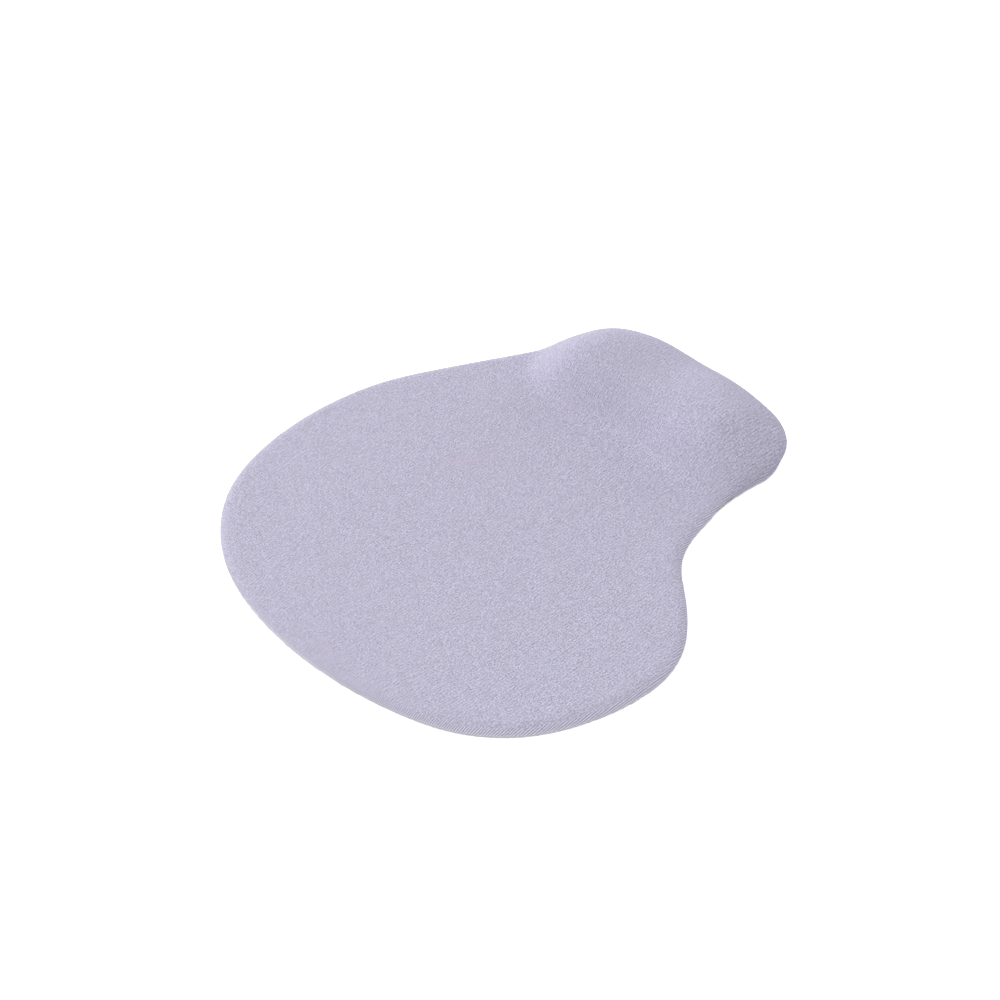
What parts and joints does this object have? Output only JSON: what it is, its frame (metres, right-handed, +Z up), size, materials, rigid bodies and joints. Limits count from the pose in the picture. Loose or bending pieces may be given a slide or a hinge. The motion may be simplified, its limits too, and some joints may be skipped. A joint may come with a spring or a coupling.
{
  "type": "wrist rest",
  "caption": "Mouse mat with a raised two-lobed wrist cushion along the near edge, a deep thumb notch, a knit cover and a dark grip base.",
  "frame": {"origin": "centre of the outline, on the desk under the grip base", "axes": "+Z up from the desk, +Y away from the user towards the mouse area, +X to the user's right"},
  "size_m": [0.209, 0.232, 0.0252],
  "materials": {
    "knit": "fine lavender jersey knit, matt with a soft sheen",
    "slow_foam": "open-cell slow foam, matt",
    "mat_foam": "fine moulded foam, matt",
    "film": "thin pale plastic film",
    "grip": "dark moulded grip sheet, matt"
  },
  "bodies": {
    "root": {"knit_cover": "knit", "wrist_cushion": "slow_foam", "foam_core": "mat_foam", "seal_film": "film", "grip_base": "grip"}
  },
  "joints": []
}
